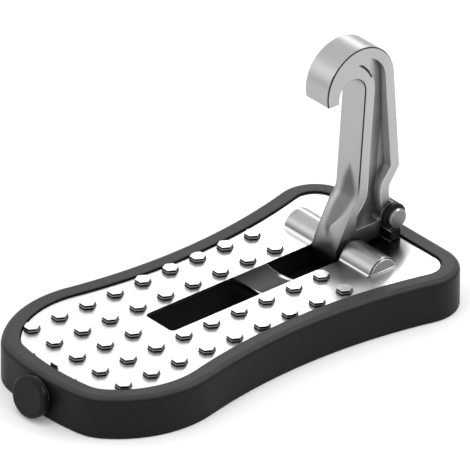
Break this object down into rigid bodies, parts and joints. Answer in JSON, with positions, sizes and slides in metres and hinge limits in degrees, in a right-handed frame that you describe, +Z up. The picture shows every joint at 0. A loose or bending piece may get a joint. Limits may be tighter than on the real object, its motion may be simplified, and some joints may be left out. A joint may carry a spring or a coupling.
{
  "type": "car door latch step",
  "caption": "Folding foot step that hooks over a car door's striker loop, with a studded metal tread, a rubber surround and a capped glass-breaking point.",
  "frame": {"origin": "bottom centre of the whole step at rest, on the ground under the middle of its length", "axes": "+X from the nose to the hinge end, +Y to the left side seen from the hinge end looking to the nose, +Z up"},
  "size_m": [0.1774, 0.0886, 0.0996],
  "materials": {
    "black_rubber": "smooth moulded, satin",
    "polished_casting": "bright polished casting",
    "dark_casting": "dark as-cast",
    "satin_casting": "satin blasted",
    "plain_steel": "turned"
  },
  "bodies": {
    "base": {"edge_surround": "black_rubber", "tread_plate": "polished_casting", "cast_frame": "dark_casting", "hinge_pin": "plain_steel", "washer_left": "plain_steel", "washer_right": "plain_steel", "plate_screws": "plain_steel", "hammer_point": "plain_steel"},
    "arm": {"hook_arm": "satin_casting", "heel_pad": "black_rubber", "heel_pin": "plain_steel", "heel_pin_washer": "plain_steel"},
    "cap": {"hammer_cap": "black_rubber"}
  },
  "joints": [
    {"name": "hook_fold", "type": "hinge", "parent": "base", "child": "arm", "pos_m": [0.06032, 0, 0.0148], "axis": [0, -1, 0], "range_deg": [0, 92]},
    {"name": "cap_pull", "type": "slide", "parent": "base", "child": "cap", "axis": [-1, 0, 0], "range_m": [0, 0.02]}
  ]
}
